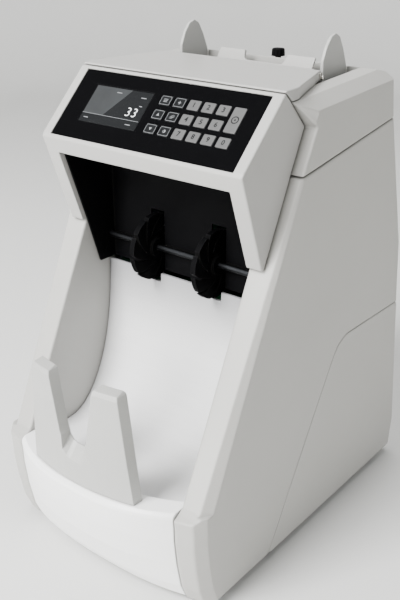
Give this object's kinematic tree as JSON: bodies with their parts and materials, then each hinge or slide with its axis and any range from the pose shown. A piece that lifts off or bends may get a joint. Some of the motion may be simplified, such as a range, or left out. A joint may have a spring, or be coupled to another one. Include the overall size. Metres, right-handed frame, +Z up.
{
  "type": "banknote counting machine",
  "caption": "Desktop banknote counter: sloped head with keypad and display, top hopper with sliding guides, front stacker pocket with a two-prong stop.",
  "frame": {"origin": "on the desk, under the middle of the machine", "axes": "+Z up, -Y towards the person who uses it (front with the keypad and stacker), +X to the right seen from the front"},
  "size_m": [0.2426, 0.375, 0.4671],
  "materials": {
    "shell_white": "satin moulded ABS",
    "shell_grey": "fine-textured moulded ABS",
    "head_grey": "fine-textured moulded ABS",
    "stop_grey": "satin moulded ABS",
    "panel_black": "gloss black film",
    "display_glass": "dark display window",
    "key_grey": "satin keycap",
    "key_black": "satin keycap",
    "inner_black": "moulded black plastic",
    "rubber": "matt rubber",
    "steel": "plain steel",
    "board_green": "circuit board",
    "desk_rubber": "matt rubber"
  },
  "bodies": {
    "machine": {"chassis_base": "steel", "foot_front_left": "desk_rubber", "foot_front_right": "desk_rubber", "foot_rear_left": "desk_rubber", "foot_rear_right": "desk_rubber", "front_cover": "shell_white", "side_cover_left": "shell_grey", "side_cover_right": "shell_grey", "lower_panel_left": "shell_grey", "lower_panel_right": "shell_grey", "rear_cover": "shell_grey", "upper_housing": "shell_grey", "head_housing": "head_grey", "top_cover": "shell_white", "control_panel": "panel_black", "display": "display_glass", "control_board": "board_green", "hopper_floor": "inner_black", "hopper_backrest": "head_grey", "guide_rod": "steel", "retard_roller": "rubber", "stacker_back_plate": "inner_black", "stacker_ramp": "shell_white", "note_stop": "stop_grey", "side_frame_left": "steel", "side_frame_right": "steel", "drive_motor": "steel", "power_supply": "board_green", "main_board": "board_green", "power_inlet": "inner_black"},
    "rear_door": {"rear_door": "shell_grey"},
    "note_guide_left": {"note_guide_left": "stop_grey"},
    "note_guide_right": {"note_guide_right": "stop_grey"},
    "thickness_knob": {"thickness_knob": "inner_black"},
    "pickup": {"pickup_shaft": "steel", "pickup_roller_left": "rubber", "pickup_roller_right": "rubber"},
    "feed": {"feed_shaft": "steel", "feed_roller": "rubber"},
    "stacker": {"stacker_shaft": "steel", "stacker_wheel_left": "inner_black", "stacker_wheel_right": "inner_black"},
    "power_switch": {"power_switch": "inner_black"},
    "key_menu": {"key_menu": "key_black"},
    "key_add": {"key_add": "key_black"},
    "key_1": {"key_1": "key_grey"},
    "key_2": {"key_2": "key_grey"},
    "key_3": {"key_3": "key_grey"},
    "key_up": {"key_up": "key_black"},
    "key_batch": {"key_batch": "key_black"},
    "key_4": {"key_4": "key_grey"},
    "key_5": {"key_5": "key_grey"},
    "key_6": {"key_6": "key_grey"},
    "key_down": {"key_down": "key_black"},
    "key_mode": {"key_mode": "key_black"},
    "key_7": {"key_7": "key_grey"},
    "key_8": {"key_8": "key_grey"},
    "key_9": {"key_9": "key_grey"},
    "key_0": {"key_0": "key_grey"},
    "key_start": {"key_start": "key_grey"}
  },
  "joints": [
    {"name": "feed_spin", "type": "hinge", "parent": "machine", "child": "feed", "pos_m": [0, -0.00666, 0.38057], "axis": [1, 0, 0], "continuous": true},
    {"name": "pickup_spin", "type": "hinge", "parent": "machine", "child": "pickup", "pos_m": [0, 0.01694, 0.41014], "axis": [1, 0, 0], "continuous": true},
    {"name": "stacker_spin", "type": "hinge", "parent": "machine", "child": "stacker", "pos_m": [0, -0.03196, 0.276], "axis": [1, 0, 0], "continuous": true},
    {"name": "rear_door_hinge", "type": "hinge", "parent": "machine", "child": "rear_door", "pos_m": [0, 0.16391, 0.2286], "axis": [-1, 0, 0], "range_deg": [0, 75]},
    {"name": "thickness_turn", "type": "hinge", "parent": "machine", "child": "thickness_knob", "pos_m": [0, 0.111, 0.4342], "axis": [0, 0, 1], "range_deg": [-150, 150]},
    {"name": "power_rock", "type": "hinge", "parent": "machine", "child": "power_switch", "pos_m": [-0.035, 0.17988, 0.062], "axis": [-1, 0, 0], "range_deg": [0, 12]},
    {"name": "note_guide_left_slide", "type": "slide", "parent": "machine", "child": "note_guide_left", "axis": [-1, 0, 0], "range_m": [-0.017, 0.005]},
    {"name": "note_guide_right_slide", "type": "slide", "parent": "machine", "child": "note_guide_right", "axis": [1, 0, 0], "range_m": [-0.017, 0.005]},
    {"name": "key_menu_press", "type": "slide", "parent": "machine", "child": "key_menu", "axis": [0, 0.6999, -0.7142], "range_m": [0, 0.0008], "stiffness_N_per_m": 300},
    {"name": "key_add_press", "type": "slide", "parent": "machine", "child": "key_add", "axis": [0, 0.6999, -0.7142], "range_m": [0, 0.0008], "stiffness_N_per_m": 300},
    {"name": "key_1_press", "type": "slide", "parent": "machine", "child": "key_1", "axis": [0, 0.6999, -0.7142], "range_m": [0, 0.0008], "stiffness_N_per_m": 300},
    {"name": "key_2_press", "type": "slide", "parent": "machine", "child": "key_2", "axis": [0, 0.6999, -0.7142], "range_m": [0, 0.0008], "stiffness_N_per_m": 300},
    {"name": "key_3_press", "type": "slide", "parent": "machine", "child": "key_3", "axis": [0, 0.6999, -0.7142], "range_m": [0, 0.0008], "stiffness_N_per_m": 300},
    {"name": "key_up_press", "type": "slide", "parent": "machine", "child": "key_up", "axis": [0, 0.6999, -0.7142], "range_m": [0, 0.0008], "stiffness_N_per_m": 300},
    {"name": "key_batch_press", "type": "slide", "parent": "machine", "child": "key_batch", "axis": [0, 0.6999, -0.7142], "range_m": [0, 0.0008], "stiffness_N_per_m": 300},
    {"name": "key_4_press", "type": "slide", "parent": "machine", "child": "key_4", "axis": [0, 0.6999, -0.7142], "range_m": [0, 0.0008], "stiffness_N_per_m": 300},
    {"name": "key_5_press", "type": "slide", "parent": "machine", "child": "key_5", "axis": [0, 0.6999, -0.7142], "range_m": [0, 0.0008], "stiffness_N_per_m": 300},
    {"name": "key_6_press", "type": "slide", "parent": "machine", "child": "key_6", "axis": [0, 0.6999, -0.7142], "range_m": [0, 0.0008], "stiffness_N_per_m": 300},
    {"name": "key_down_press", "type": "slide", "parent": "machine", "child": "key_down", "axis": [0, 0.6999, -0.7142], "range_m": [0, 0.0008], "stiffness_N_per_m": 300},
    {"name": "key_mode_press", "type": "slide", "parent": "machine", "child": "key_mode", "axis": [0, 0.6999, -0.7142], "range_m": [0, 0.0008], "stiffness_N_per_m": 300},
    {"name": "key_7_press", "type": "slide", "parent": "machine", "child": "key_7", "axis": [0, 0.6999, -0.7142], "range_m": [0, 0.0008], "stiffness_N_per_m": 300},
    {"name": "key_8_press", "type": "slide", "parent": "machine", "child": "key_8", "axis": [0, 0.6999, -0.7142], "range_m": [0, 0.0008], "stiffness_N_per_m": 300},
    {"name": "key_9_press", "type": "slide", "parent": "machine", "child": "key_9", "axis": [0, 0.6999, -0.7142], "range_m": [0, 0.0008], "stiffness_N_per_m": 300},
    {"name": "key_0_press", "type": "slide", "parent": "machine", "child": "key_0", "axis": [0, 0.6999, -0.7142], "range_m": [0, 0.0008], "stiffness_N_per_m": 300},
    {"name": "key_start_press", "type": "slide", "parent": "machine", "child": "key_start", "axis": [0, 0.6999, -0.7142], "range_m": [0, 0.0008], "stiffness_N_per_m": 300}
  ],
  "couplings": [
    {"joint": "pickup_spin", "follows": "feed_spin", "ratio": 1},
    {"joint": "stacker_spin", "follows": "feed_spin", "ratio": -0.25}
  ]
}
